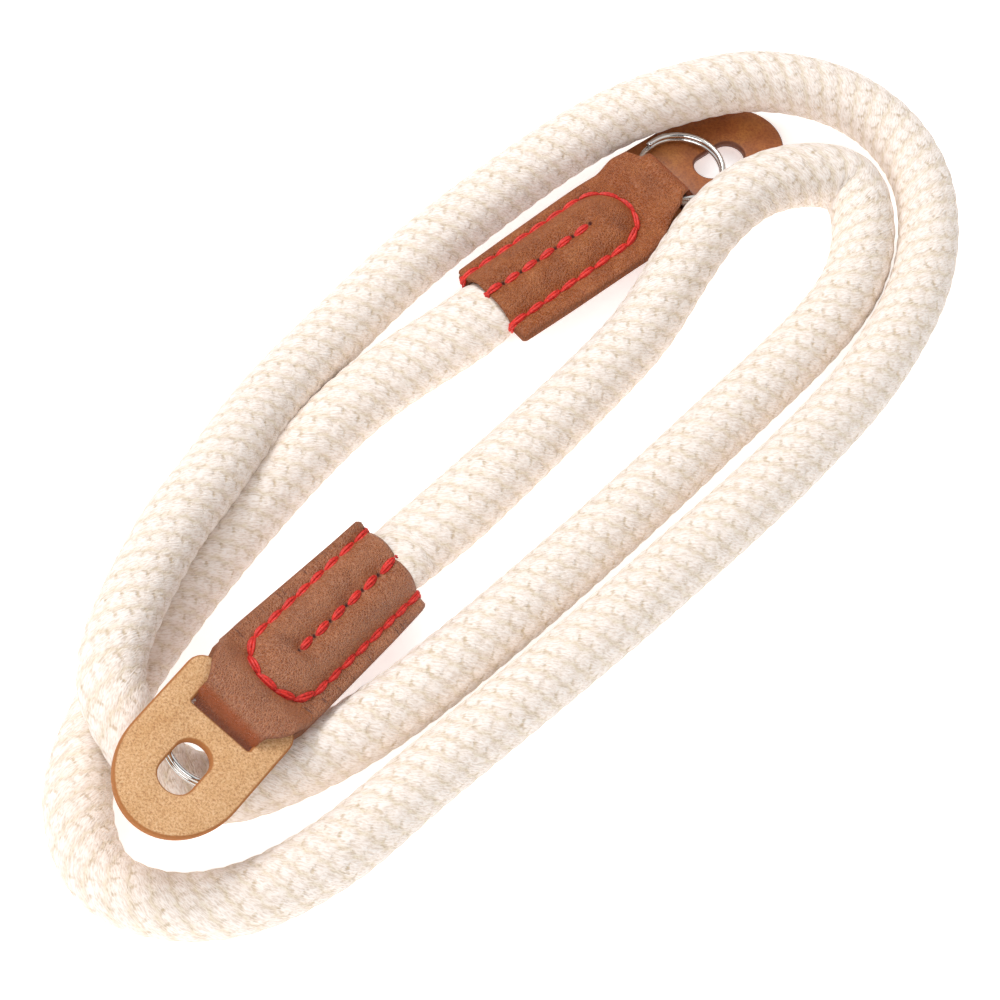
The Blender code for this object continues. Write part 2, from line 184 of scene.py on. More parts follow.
rope = {
    "diameter": 12.0,
    "columns": 14,         # grains round the rope
    "pitch": 4.0,          # from grain to grain along a column
    "starts": 4,           # how many pitches the columns drift in one turn
    "lean": 47.0,          # of a grain's yarns, from the rope's length
    "grainLength": 2.4,    # of half a grain, whose ends lie under its neighbours
    "grainWidth": 2.2,
    "grainTilt": 0.16,     # how much higher a grain is at its front
    "grainCrown": 0.85,    # under 1 its top is flatter
    "relief": 0.33,
    "reliefLevel": 0.75,   # the share of a grain's height that lies at the rope's own radius
    "smoothTip": 20.0,     # length at each tip, in its pocket, that has no relief
    "smoothFade": 8.0,
    "ringPoints": 70,
    "step": 0.71,          # from ring to ring
    "fineSteps": 24,       # between two points of the route
    "softRings": 9,        # rings over which the route is evened out
    "oval": 0.11,          # how much wider and lower it is pressed beside its leather ends
    "ovalAt": 4.0,         # from the mouth
    "ovalSpan": 24.0,
    "onFloor": 7.0,        # a middle line below this sinks with the oval, so that it stays on the floor
    # Just outside the mouths, and in a pocket, where it is pressed flat: how far in, how far above the
    # pocket's axis, then width and height as shares.
    "outside": (-5.0, -0.9, 1.0, 1.0),
    "inPocket": ((29.0, -2.0, 1.0, 0.55), (15.0, -2.0, 1.0, 0.55), (3.0, -1.8, 1.06, 0.56),
                 (0.0, -1.0, 1.10, 0.70)),
    # The small dark hook where a grain dives under its neighbours, dented in the bump and darkened with
    # painted shade.
    # Its middle is pitAt, in grains, and its legs are turned from the rope's length.
    "pitAt": (0.57, 0.70),
    "hook": ({"turn": 70.0, "middle": 0.60, "halfLength": 0.80, "halfWidth": 0.26, "depth": 0.62},
             {"turn": -38.0, "middle": 0.55, "halfLength": 0.80, "halfWidth": 0.32, "depth": 0.85}),
    "hookScatter": 0.2,
    "hookRagged": 2.2,     # how much the fibres fray its outline
    "hookFade": (2.4, 1.1),  # where its depth starts and where it is full, in its half lengths and widths
    "hookStrength": ((0.15, "#555555"), (0.75, "#D8D8D8")),  # pale and strong hooks, by chance
    # The colour of the hooks' painted shade.
    "hookShadeColour": "#BDA273",
    # The tones follow the grain's height: painted shade, darker in the pits and paler on the crests.
    "tones": ((0.05, "#DAC8A6"), (0.3, "#EBDECA"), (0.58, "#F5EAE0"), (0.9, "#FAF1EA")),  # pit to crest
    "tufts": (1.0, 3.8, 1.0),  # tufts of 1 by 0.3 mm, coarser than real fibres so that they show
    "tuftTones": ((0.34, "#D6C5B4"), (0.5, "#F6EFE9"), (0.62, "#FFFFFF")),
    "tuftShare": 0.55,
}
# x, y, lift of the underside and girth, in mm, from end a to end b, as the part has them.
ropeRoute = (
    (-27.0, 16.5, 0.0, 1.02), (-60.5, -31.0, 0.0, 1.0), (-71.0, -55.0, 0.0, 1.01), (-72.0, -67.0, 0.0, 1.01),
    (-67.0, -79.0, 0.0, 0.96), (-56.5, -84.0, 0.0, 0.96), (-43.5, -83.0, 0.0, 1.01),
    (-29.0, -75.0, 0.0, 1.03), (-13.0, -60.0, 0.0, 1.0), (22.5, -26.5, 0.0, 1.0), (55.0, 7.0, 0.0, 0.98),
    (70.0, 26.5, 0.0, 0.96), (79.5, 47.5, 0.0, 0.95), (80.5, 67.0, 0.0, 0.95), (74.5, 80.5, 0.1, 0.96),
    (64.5, 88.0, 0.9, 0.98), (50.0, 90.0, 2.7, 0.98), (34.5, 85.5, 4.4, 0.97), (19.0, 79.5, 2.3, 0.96),
    (-9.0, 57.0, 0.0, 1.0), (-32.5, 30.0, 0.5, 1.0), (-43.0, 14.0, 3.5, 1.0), (-51.5, -5.0, 9.4, 1.0),
    (-59.0, -20.5, 12.0, 1.0), (-66.5, -46.5, 12.3, 1.0), (-63.0, -55.5, 9.0, 1.0), (-57.0, -61.0, 3.8, 1.0),
    (-48.5, -62.5, 0.6, 1.0), (-35.0, -57.5, 0.0, 1.0), (-17.5, -45.5, 0.0, 1.02), (36.5, 8.5, 0.0, 1.0),
    (65.5, 43.5, 0.0, 0.98), (68.5, 60.0, 0.2, 1.0), (66.0, 66.5, 1.0, 1.02), (59.0, 67.0, 3.0, 1.02),
    (48.5, 62.5, 5.3, 1.0), (40.0, 54.0, 5.8, 1.0), (34.5, 46.5, 3.4, 0.99), (25.0, 31.5, 0.2, 1.0),
    (-6.0, -4.0, 0.3, 1.04),
)
columnStep = math.pi * rope["diameter"] / rope["columns"]       # round the rope
columnDrift = rope["starts"] * rope["pitch"] / rope["columns"]  # along the rope
yarnLean = math.radians(rope["lean"])


def smoothRoute(rows):
    rows = np.array(rows, float)
    knots = lengthsAlong(rows[:, :3], 0.5)
    slopes = np.gradient(rows, knots, axis=0, edge_order=1)
    fine = []
    for i in range(len(rows) - 1):
        gap = knots[i + 1] - knots[i]
        for t in np.linspace(0.0, 1.0, rope["fineSteps"], endpoint=False):
            fine.append((2 * t**3 - 3 * t**2 + 1) * rows[i] + (t**3 - 2 * t**2 + t) * gap * slopes[i]
                        + (3 * t**2 - 2 * t**3) * rows[i + 1] + (t**3 - t**2) * gap * slopes[i + 1])
    fine.append(rows[-1])
    return np.array(fine)


def insideEnd(end, rows):
    spots = inWorld(endFrame(end), [(row[0], 0.0, row[1]) for row in rows]) / mm
    return [(*spot, row[2], row[3]) for spot, row in zip(spots, rows)]


def ropeLine():
    # Columns: x, y, z, and how wide and how high the rope is there, as shares of its diameter.
    radius = rope["diameter"] / 2
    first, last = (insideEnd(ends[name], [rope["outside"]])[0][:4] for name in "ab")
    rows = [(x - centre.x, y - centre.y, lift + girth * radius, girth) for x, y, lift, girth in ropeRoute]
    line = smoothRoute([first, *rows, last])
    line[:, 2] = np.maximum(line[:, 2], line[:, 3] * radius)
    run = lengthsAlong(line[:, :3])
    fromEnds = (run - rope["ovalAt"], run[-1] - rope["ovalAt"] - run)
    pressed = rope["oval"] * sum(np.exp(-(away / rope["ovalSpan"]) ** 2) for away in fromEnds)
    line = np.column_stack([line[:, :3], line[:, 3] * (1 + pressed), line[:, 3] * (1 - pressed)])
    line[:, 2] -= np.where(line[:, 2] < rope["onFloor"], line[:, 3] - line[:, 4], 0.0) * radius / 2
    head, tail = (insideEnd(ends[name], rope["inPocket"]) for name in "ab")
    line = np.vstack([head, line, tail[::-1]])
    run = lengthsAlong(line[:, :3])
    at = np.linspace(0.0, run[-1], int(run[-1] / rope["step"]))
    even = np.column_stack([np.interp(at, run, values) for values in line.T])
    kernel = np.hanning(rope["softRings"])
    kernel /= kernel.sum()
    reach = rope["softRings"] // 2
    padded = np.pad(even, ((reach, reach), (0, 0)), mode="edge")
    soft = np.column_stack([np.convolve(values, kernel, "valid") for values in padded.T])
    soft[:reach], soft[-reach:] = even[:reach], even[-reach:]
    return at, soft


def braidHeight(columnAt, runAt):
    # Height of the braid's grains, from 0 in a pit to 1 on a grain's crest.
    best = np.full(columnAt.shape, -9.0)
    for dk in (-1, 0, 1):
        k = np.round(columnAt) + dk
        x = (columnAt - k) * columnStep
        y0 = runAt - columnDrift * k
        nearest = np.round(y0 / rope["pitch"])
        for dm in (-1, 0, 1):
            y = y0 - (nearest + dm) * rope["pitch"]
            a = (y * math.cos(yarnLean) + x * math.sin(yarnLean)) / rope["grainLength"]
            b = (-y * math.sin(yarnLean) + x * math.cos(yarnLean)) / rope["grainWidth"]
            best = np.maximum(best, 1.0 - a**2 - b**2 + rope["grainTilt"] * a)
    return np.clip(best, 0.0, 1.0) ** rope["grainCrown"]


def makeRope():
    at, line = ropeLine()
    spots = line[:, :3]
    ahead = np.gradient(spots, axis=0)
    ahead /= np.linalg.norm(ahead, axis=1)[:, None]
    side = np.cross((0.0, 0.0, 1.0), ahead)
    side /= np.linalg.norm(side, axis=1)[:, None]
    up = np.cross(ahead, side)
    rings, n = len(at), rope["ringPoints"]
    column = np.arange(n + 1)[None, :] / n * rope["columns"] + np.zeros((rings, 1))
    runAt = at[:, None] + np.zeros((1, n + 1))
    height = braidHeight(column, runAt)
    toTip = np.minimum(at, at[-1] - at)
    braided = np.clip((toTip - rope["smoothTip"]) / rope["smoothFade"], 0.0, 1.0)[:, None]
    reach = rope["diameter"] / 2 + rope["relief"] * (height - rope["reliefLevel"]) * braided
    turn = column * 2 * math.pi / rope["columns"]
    wide = line[:, 3, None] * reach * np.cos(turn)
    high = line[:, 4, None] * reach * np.sin(turn)
    co = spots[:, None, :] + side[:, None, :] * wide[..., None] + up[:, None, :] * high[..., None]
    co[..., 2] = np.maximum(co[..., 2], 0.0)
    i, j = np.meshgrid(np.arange(rings - 1), np.arange(n), indexing="ij")
    corners = ((0, 0), (0, 1), (1, 1), (1, 0))
    quads = np.stack([(i + di) * n + (j + dj) % n for di, dj in corners], axis=-1).reshape(-1, 4)
    caps = [list(range(n))[::-1], [(rings - 1) * n + k for k in range(n)]]
    mesh = bpy.data.meshes.new("rope_braid")
    mesh.from_pydata((co[:, :n].reshape(-1, 3) * mm).tolist(), [], quads.tolist() + caps)
    # Two maps: one counts the braid's grains, the other runs along and across their yarns, in mm.
    turned = column * columnStep
    maps = {"grains": (runAt / rope["pitch"] - rope["starts"] / rope["columns"] * column, column),
            "yarn": (runAt * math.cos(yarnLean) + turned * math.sin(yarnLean),
                     -runAt * math.sin(yarnLean) + turned * math.cos(yarnLean))}
    for name, pair in maps.items():
        flat = np.zeros((len(mesh.loops), 2))
        places = [np.stack([w[di:rings - 1 + di, dj:n + dj] for w in pair], axis=-1) for di, dj in corners]
        flat[:quads.size] = np.stack(places, axis=2).reshape(-1, 2)
        mesh.uv_layers.new(name=name).data.foreach_set("uv", flat.ravel())
    mesh.attributes.new("level", "FLOAT", "POINT").data.foreach_set("value", height[:, :n].ravel())
    obj = smoothObject("rope_braid", mesh, cottonBraid())
    attach(obj, "cotton_rope", "rope")
    print("rope", len(mesh.polygons), "faces,", round(float(at[-1]), 1), "mm")


def hookDepth(tree, grains, fibre):
    # How deep a place is in a hook, from 0 to 1, and a chance value for each hook.
    shift = tuple(-v for v in rope["pitAt"]) + (0.0,)
    moved = addNode(tree, "VectorMath", {"operation": "ADD"}, i0=grains, i1=shift).outputs[0]
    cell = addNode(tree, "TexVoronoi", {"voronoi_dimensions": "2D"}, Vector=moved, Scale=1.0,
                   Randomness=rope["hookScatter"])
    away = addNode(tree, "VectorMath", {"operation": "SUBTRACT"}, i0=moved, i1=cell.outputs["Position"])
    first, last = rope["hookFade"]
    depth = 0.0
    for leg in rope["hook"]:
        c, s = math.cos(math.radians(leg["turn"])), math.sin(math.radians(leg["turn"]))
        parts = []
        for along, around, start, reach in ((c, s, leg["middle"], leg["halfLength"]),
                                            (-s, c, 0.0, leg["halfWidth"])):
            row = (along * rope["pitch"] / reach, (along * columnDrift + around * columnStep) / reach, 0.0)
            dot = addNode(tree, "VectorMath", {"operation": "DOT_PRODUCT"}, i0=away.outputs[0], i1=row)
            part = addNode(tree, "Math", {"operation": "SUBTRACT"}, i0=dot.outputs["Value"], i1=start / reach)
            parts.append(part.outputs[0])
        joined = addNode(tree, "CombineXYZ", X=parts[0], Y=parts[1]).outputs[0]
        far = addNode(tree, "VectorMath", {"operation": "LENGTH"}, i0=joined).outputs["Value"]
        frayed = addNode(tree, "Math", {"operation": "MULTIPLY_ADD"}, i0=fibre, i1=rope["hookRagged"], i2=far)
        faded = addNode(tree, "MapRange", Value=frayed.outputs[0], From_Min=first, From_Max=last,
                        To_Max=leg["depth"]).outputs["Result"]
        depth = addNode(tree, "Math", {"operation": "MAXIMUM"}, i0=faded, i1=depth).outputs[0]
    return depth, cell.outputs["Color"]


def cottonBraid():
    # Soft undyed cotton with painted shade: paler crests, small darker tan gaps between the yarns where shade
    # falls, and fine fibres that catch the light.
    material, tree, shader = newMaterial("cotton yarn, round braided")
    level = addNode(tree, "Attribute", {"attribute_name": "level"}).outputs["Fac"]
    grains = addNode(tree, "UVMap", {"uv_map": "grains"}).outputs["UV"]
    yarn = addNode(tree, "UVMap", {"uv_map": "yarn"}).outputs["UV"]
    # A chance value for each grain shifts its tufts.
    flat = {"voronoi_dimensions": "2D"}
    chance = addNode(tree, "TexVoronoi", flat, Vector=grains, Scale=1.0, Randomness=0.0).outputs["Color"]
    stretch = addNode(tree, "Mapping", Vector=yarn, Scale=rope["tufts"]).outputs["Vector"]
    shifted = addNode(tree, "VectorMath", {"operation": "ADD"}, i0=stretch, i1=chance)
    noise = addNode(tree, "TexNoise", Vector=shifted.outputs[0], Scale=1.0, Detail=1.0, Roughness=0.6)
    fibre = noise.outputs["Fac"]
    gap, hookChance = hookDepth(tree, grains, fibre)
    strong = addNode(tree, "ValToRGB", {"stops": rope["hookStrength"]}, Fac=hookChance).outputs["Color"]
    # How much painted shade each hook gets.
    dark = addNode(tree, "Math", {"operation": "MULTIPLY"}, i0=gap, i1=strong).outputs[0]
    # Painted shade: darker towards the pits, paler on the crests.
    base = addNode(tree, "ValToRGB", {"stops": rope["tones"]}, Fac=level).outputs["Color"]
    tufts = addNode(tree, "ValToRGB", {"stops": rope["tuftTones"]}, Fac=fibre).outputs["Color"]
    colour = addNode(tree, "Mix", multiplyColours, i0=rope["tuftShare"], i6=base, i7=tufts).outputs[2]
    hookShaded = addNode(tree, "Mix", blendColours, i0=dark, i6=colour, i7=hexColour(rope["hookShadeColour"]))
    lift = addNode(tree, "Math", {"operation": "MULTIPLY_ADD"}, i0=gap, i1=-0.5, i2=fibre).outputs[0]
    bump = addNode(tree, "Bump", Height=lift, Strength=0.8, Distance=0.25 * mm)
    setInputs(tree, shader, {
        "Base Color": hookShaded.outputs[2], "Normal": bump.outputs["Normal"], "Roughness": 0.85,
        "Specular IOR Level": 0.3, "Sheen Weight": 0.15, "Sheen Roughness": 0.5,
    })
    return material


makeRope()


# Leather ends: one strip each, folded over the patch and the ring and sewn round the rope

sheath = {
    "wall": 1.12,             # thickness of the leather as drawn
    "flange": 1.2,            # height of the sewn edges above the middle plane
    "alongCells": 200,
    "acrossCells": 62,
    "domeTop": 2.95,          # how far the pressed rope lifts the upper leather
    "domeTopPower": 2.6,      # more is squarer
    "domeLow": 5.3,
    "domeLowPower": 0.7,      # 0.5 would be round, more is sharper
    "valleyPower": 1.6,
    "valleyAtMouth": 0.42,    # share of its depth
    "valleyRun": 6.0,         # from the mouth to its full depth
    "valleyFade": (1.5, 2.5),  # before and behind the middle seam's last hole
    "seamGroove": 0.3,
    "grooveWidth": 0.6,
    "holeDip": 0.2,
    "holeWidth": 0.5,
    "edgeRound": 0.4,         # how far the edges are worn down, over edgeWidth
    "edgeWidth": 1.1,
    "foldCorner": 4.5,        # 2 would be a round fold, more is squarer
    "swellPast": 1.5,         # the leather opens for the ring this far beyond the rope
    "thinFrom": 7.2,          # where edgeThin starts beside the middle, and over which width
    "thinOver": 2.1,
    "earSide": (7.0, 9.8),    # the mouth's right corner curls up
    "earRun": 9.0,
    "earBelow": 0.6,          # the lower leather's share of it
    "skewRun": 14.0,
    "bevel": 0.3,
    "bevelAngle": 58.0,
    # Widths of what the material paints: the burnished rim, the creases from the seam out, the fold.
    "rim": 0.5,
    "creased": 1.5,
    "creasedEnd": 2.0,
    "foldFrom": 1.6,
    "foldFade": 0.8,
}
# Plan outline of each end: a share of the length to the fold, and its right and left edges in mm.
outlines = {
    "a": ((0.0, -9.5, 9.1), (0.012, -10.0, 9.6), (0.22, -10.3, 9.9), (0.66, -10.6, 10.3), (0.77, -9.1, 10.2),
          (0.84, -7.7, 10.0), (0.907, -6.4, 9.8), (0.925, -5.9, 9.3), (0.937, -5.1, 7.1), (1.0, -4.3, 6.9)),
    "b": ((0.0, -8.0, 9.3), (0.01, -9.0, 9.6), (0.03, -9.7, 9.8), (0.21, -10.1, 10.1), (0.66, -10.9, 10.5),
          (0.785, -10.9, 10.5), (0.878, -9.4, 9.5), (0.92, -8.0, 8.5), (0.958, -7.1, 7.0), (1.0, -7.0, 6.5)),
}
# The U seam's two legs and its far end, the middle seam's first and last hole, and the valley along it.
# Skew is how much the mouth slants, ear how far its corner curls.
seams = {
    "a": {"right": -6.3, "left": 7.6, "apex": 34.7, "middle": (-0.4, 25.1), "valley": 1.1, "valleyWidth": 2.0,
          "skew": 0.0, "ear": 0.0},
    "b": {"right": -7.3, "left": 7.15, "apex": 37.9, "middle": (0.3, 28.5), "valley": 2.0, "valleyWidth": 2.5,
          "skew": 0.14, "ear": 1.6},
}


def smoothStep(value, first, last):
    rise = np.clip((value - first) / (last - first), 0.0, 1.0)
    return rise * rise * (3.0 - 2.0 * rise)


def foldSpan(name):
    # Where the strip starts to turn round the fold, and the length of that turn.
    return ends[name]["fold"] - stackHalf, math.pi * stackHalf


def pathLength(name):
    bend, arc = foldSpan(name)
    return 2 * bend + arc


def alongPath(name, path):
    # The strip's path runs from the mouth over the fold and back below. Gives the place along the end, and
    # the height in the fold from 1 to -1.
    bend, arc = foldSpan(name)
    turn = np.clip((path - bend) / arc, 0.0, 1.0) * math.pi
    power = 2 / sheath["foldCorner"]
    front = stackHalf * np.sin(turn) ** power
    along = np.where(path < bend, path, np.where(path > bend + arc, 2 * bend + arc - path, bend + front))
    return along, np.sign(np.cos(turn)) * np.abs(np.cos(turn)) ** power


def edgesAt(name, along):
    rows = np.array(outlines[name])
    shares = rows[:, 0] * ends[name]["fold"]
    return np.interp(along, shares, rows[:, 1]), np.interp(along, shares, rows[:, 2])


def edgeDistance(name, path, side):
    right, left = edgesAt(name, alongPath(name, path)[0])
    return np.min([side - right, left - side, path, pathLength(name) - path], axis=0)


def seamMiddle(name):
    seam = seams[name]
    return (seam["left"] + seam["right"]) / 2, (seam["left"] - seam["right"]) / 2


def seamDistance(name, along, side):
    # How far a place is outside the U-shaped seam, in mm; negative inside it.
    middle, half = seamMiddle(name)
    return np.hypot(np.maximum(0.0, along - seams[name]["apex"] + half), side - middle) - half


def domeHeights(name, along, side):
    # How far the rope lifts the upper and the lower leather inside the U, less the valley between its lobes.
    seam = seams[name]
    middle, half = seamMiddle(name)
    outside = seamDistance(name, along, side)
    share = np.clip(1.0 + outside / half, 0.0, 1.0)
    atMouth, lastHole = sheath["valleyAtMouth"], seam["middle"][1]
    before, behind = sheath["valleyFade"]
    dip = np.exp(-(np.abs(side - middle) / seam["valleyWidth"]) ** sheath["valleyPower"])
    dip *= seam["valley"] * (atMouth + (1.0 - atMouth) * smoothStep(along, 0.0, sheath["valleyRun"]))
    dip *= 1.0 - smoothStep(along, lastHole - before, lastHole + behind)
    dip *= outside < 0
    top = sheath["domeTop"] * (1.0 - share ** sheath["domeTopPower"]) - dip
    low = sheath["domeLow"] * np.maximum(0.0, 1.0 - share**2) ** sheath["domeLowPower"] - dip
    return top, low


def sheathPoint(name, path, side, holes=None):
    # A place on the strip's outer face, in the end's own mm.
    end, seam = ends[name], seams[name]
    path, side = np.asarray(path, float), np.asarray(side, float)
    along, over = alongPath(name, path)
    bend, arc = foldSpan(name)
    swell = smoothStep(along, pocket["depth"] + sheath["swellPast"], end["fold"] - tunnel["back"] - fit)
    rise = np.clip((np.abs(side) - sheath["thinFrom"]) / sheath["thinOver"], 0.0, 1.0)
    rise = end["edgeThin"] * rise * swell
    flat = sheath["flange"] + (stackHalf - sheath["flange"]) * swell
    top, low = domeHeights(name, along, side)
    sunk = sheath["seamGroove"] * np.exp(-(seamDistance(name, along, side) / sheath["grooveWidth"]) ** 2)
    if holes is not None:
        gap = np.min([np.hypot(path - p, side - s) for p, s in holes], axis=0)
        sunk = sunk + sheath["holeDip"] * np.exp(-(gap / sheath["holeWidth"]) ** 2)
    toEdge = np.clip(edgeDistance(name, path, side) / sheath["edgeWidth"], 0.0, 1.0)
    worn = sheath["edgeRound"] * (1.0 - toEdge) ** 2
    wrap = (stackHalf - worn - rise / 2) * over + rise / 2
    z = np.where(path > bend + arc, rise - flat - low + sunk + worn, wrap)
    z = np.where(path < bend, flat + top - sunk - worn, z)
    ear = seam["ear"] * smoothStep(-side, *sheath["earSide"])
    ear = ear * (1.0 - smoothStep(along, 0.0, sheath["earRun"]))
    z = z + droop(along, end) + np.where(path < bend + arc / 2, ear, sheath["earBelow"] * ear)
    shifted = along + seam["skew"] * side * (1.0 - smoothStep(along, 0.0, sheath["skewRun"]))
    return np.stack([shifted, side + 0 * along, z], axis=-1)


# Stitches

thread = {
    "pitch": 4.1,         # from hole to hole
    "middleStitches": 6,
    "beyondMouth": 0.5,   # where the U seam starts
    "seamPoints": 80,     # on each of its legs and on its far end
    "strands": 4,
    "strand": 0.33,       # a strand's radius
    "bundle": 0.50,       # radius on which the strands lie
    "arch": 0.50,         # how much higher a stitch's middle is than its ends
    "sunk": 0.30,         # how far its ends go under the leather
    "twist": 50.0,        # of its strands, in degrees
    "slant": 6.0,         # from the seam, in degrees
    "points": 11,
    "fullness": 0.62,     # less keeps a stitch thick nearer to its holes
    "tipBundle": 0.12,    # what is left of the bundle and of a strand at the holes
    "tipStrand": 0.45,
    "pressed": 0.55,      # height of the bundle's section for its width
    "wrapOver": 0.5,      # how much longer than the wall the middle seam's thread is round the mouth
    "wrapOut": 0.05,      # how far the thread round the mouth stands out
    "feel": 0.4,          # reach over which the leather's slope is taken
    "seams": {"u": (1.07, 1.0), "middle": (0.88, 0.9)},  # length and thickness, as shares
    "tones": ((0.35, "#B41A12"), (0.6, "#E23226")),
}


def stitchLines(name):
    # The stitches of the two seams on the upper face: (seam, first hole, last hole).
    seam = seams[name]
    middle, half = seamMiddle(name)
    straight = seam["apex"] - half
    start, count = -thread["beyondMouth"], thread["seamPoints"]
    halfTurn = np.linspace(0.04, 3.10, count)  # its ends are the legs' ends
    line = [(x, seam["right"]) for x in np.linspace(start, straight, count)]
    line += [(straight + half * math.sin(t), middle - half * math.cos(t)) for t in halfTurn]
    line += [(x, seam["left"]) for x in np.linspace(straight, start, count)]
    line = np.array(line)
    run = lengthsAlong(line)
    marks = np.linspace(0.0, run[-1], round(run[-1] / thread["pitch"]) + 1)
    uHoles = np.column_stack([np.interp(marks, run, values) for values in line.T])
    middleHoles = [(x, middle) for x in np.linspace(*seam["middle"], thread["middleStitches"] + 1)]
    return [(kind, tuple(one), tuple(two)) for kind, holes in (("u", uHoles), ("middle", middleHoles))
            for one, two in zip(holes, holes[1:])]


def wrapStitches(name):
    # Where the thread goes round the mouth's edge: side, height of its middle, and its reach up and down.
    seam, middle = seams[name], seamMiddle(name)[0]
    top = float(sheathPoint(name, 0.0, middle)[2])
    wraps = [(side, 0.0, 2 * sheath["flange"]) for side in (seam["right"], seam["left"])]
    return wraps + [(middle, top - sheath["wall"] / 2, sheath["wall"] + thread["wrapOver"])]


def stitchShape(length, width):
    # One stitch: a bundle of twisted strands, thin where it goes down its holes.
    curve = bpy.data.curves.new("stitch", "CURVE")
    curve.dimensions = "3D"
    curve.bevel_depth = thread["strand"] * width
    curve.bevel_resolution = 1
    curve.use_fill_caps = True
    tipBundle, tipStrand = thread["tipBundle"], thread["tipStrand"]
    for strand in range(thread["strands"]):
        spline = curve.splines.new("POLY")
        spline.points.add(thread["points"] - 1)
        for point, t in zip(spline.points, np.linspace(-1.0, 1.0, thread["points"])):
            full = (1.0 - t * t) ** thread["fullness"]
            turn = math.radians(360.0 / thread["strands"] * strand + thread["twist"] * t / 2)
            out = thread["bundle"] * width * (tipBundle + (1.0 - tipBundle) * full)
            height = thread["arch"] * full - thread["sunk"] + thread["pressed"] * out * math.sin(turn)
            point.co = (t * length / 2, out * math.cos(turn), height, 1.0)
            point.radius = tipStrand + (1.0 - tipStrand) * full
    return meshFromCurve(curve)


def stitchFrame(name, path, side, heading, below):
    # A stitch's place on the strip: its x runs along it and its z out of the leather.
    feel = thread["feel"]
    step = -feel if below else feel
    da, ds = math.cos(heading), math.sin(heading)
    ahead = (sheathPoint(name, path + step * da, side + feel * ds)
             - sheathPoint(name, path - step * da, side - feel * ds))
    across = (sheathPoint(name, path - step * ds, side + feel * da)
              - sheathPoint(name, path + step * ds, side - feel * da))
    x = Vector(ahead).normalized()
    z = x.cross(Vector(across)).normalized() * (-1 if below else 1)
    turn = Matrix((x, z.cross(x), z)).transposed().to_4x4()
    return endFrame(ends[name]) @ Matrix.Translation(Vector(sheathPoint(name, path, side))) @ turn


def addStitch(bm, shape, matrix):
    before = len(bm.verts)
    bm.from_mesh(shape)
    bm.verts.ensure_lookup_table()
    bmesh.ops.transform(bm, matrix=matrix, verts=bm.verts[before:])


def makeStitches(name, material):
    shapes = {}
    bm = bmesh.new()
    for kind, one, two in stitchLines(name):
        here, reach = (np.array(one) + two) / 2, np.array(two) - one
        if kind not in shapes:
            longer, thicker = thread["seams"][kind]
            shapes[kind] = stitchShape(float(np.hypot(*reach)) * longer, thicker)
        heading = math.atan2(reach[1], reach[0]) + math.radians(thread["slant"])
        addStitch(bm, shapes[kind], stitchFrame(name, here[0], here[1], heading, False))
        addStitch(bm, shapes[kind], stitchFrame(name, pathLength(name) - here[0], here[1], heading, True))
    upright = Matrix(((0, 0, -1), (0, 1, 0), (1, 0, 0))).to_4x4()
    for side, height, length in wrapStitches(name):
        spot = Matrix.Translation((seams[name]["skew"] * side - thread["wrapOut"], side, height))
        addStitch(bm, stitchShape(length, 1.0), endFrame(ends[name]) @ spot @ upright)
    bmesh.ops.recalc_face_normals(bm, faces=bm.faces)
    obj = smoothObject("stitches_" + name, meshFromBmesh("stitches_" + name, bm), material)
    attach(obj, "sheath_leather")
    print("stitches", name, len(obj.data.polygons), "faces")


def paintedMarks(name, path, side):
    # What the leather's material reads: worn rim, distance to a middle hole for its painted shade, creased
    # flange for the creases' painted shade, and fold.
    along = alongPath(name, path)[0]
    back = np.minimum(path, pathLength(name) - path)
    holes = [two for kind, one, two in stitchLines(name) if kind == "middle"]
    toHole = np.min([np.hypot(back - p, side - s) for p, s in holes], axis=0)
    outside = np.clip(seamDistance(name, along, side) / sheath["creased"], 0.0, 1.0)
    pastFold = along - ends[name]["fold"] + sheath["foldFrom"]
    return {"rim": np.clip(1.0 - edgeDistance(name, path, side) / sheath["rim"], 0.0, 1.0),
            "hole": np.clip(toHole, 0.0, 2.0),
            "flange": outside * (along < seams[name]["apex"] - sheath["creasedEnd"]),
            "bent": np.clip(pastFold / sheath["foldFade"], 0.0, 1.0)}


def makeSheath(name, material):
    total = pathLength(name)
    bm = bmesh.new()
    bmesh.ops.create_grid(bm, x_segments=sheath["alongCells"], y_segments=sheath["acrossCells"], size=1.0)
    grid = np.array([v.co[:2] for v in bm.verts])
    path = (grid[:, 0] + 1) / 2 * total
    right, left = edgesAt(name, alongPath(name, path)[0])
    side = (left + right) / 2 + grid[:, 1] * (left - right) / 2
    above = [hole for kind, one, two in stitchLines(name) for hole in (one, two)]
    below = [(total - p, s) for p, s in above]
    points = inWorld(endFrame(ends[name]), sheathPoint(name, path, side, above + below))
    for vert, point in zip(bm.verts, points):
        vert.co = point
    obj = smoothObject("leather_end_" + name, meshFromBmesh("leather_end_" + name, bm), material)
    for mark, values in paintedMarks(name, path, side).items():
        obj.data.attributes.new(mark, "FLOAT", "POINT").data.foreach_set("value", values)
    corner = np.zeros(len(obj.data.loops), int)
    obj.data.loops.foreach_get("vertex_index", corner)
    strip = np.column_stack([path, side])[corner]
    obj.data.uv_layers.new(name="strip").data.foreach_set("uv", strip.ravel())
    wall = obj.modifiers.new("wall", "SOLIDIFY")
    wall.thickness = sheath["wall"] * mm
    wall.offset = -1.0
    wall.use_even_offset = True
    edge = obj.modifiers.new("edge", "BEVEL")
    edge.width = sheath["bevel"] * mm
    edge.segments = 2
    edge.limit_method = "ANGLE"
    edge.angle_limit = math.radians(sheath["bevelAngle"])
    attach(obj, "sheath_leather", "sheath_" + name)
    print("sheath", name, len(obj.data.polygons), "faces")


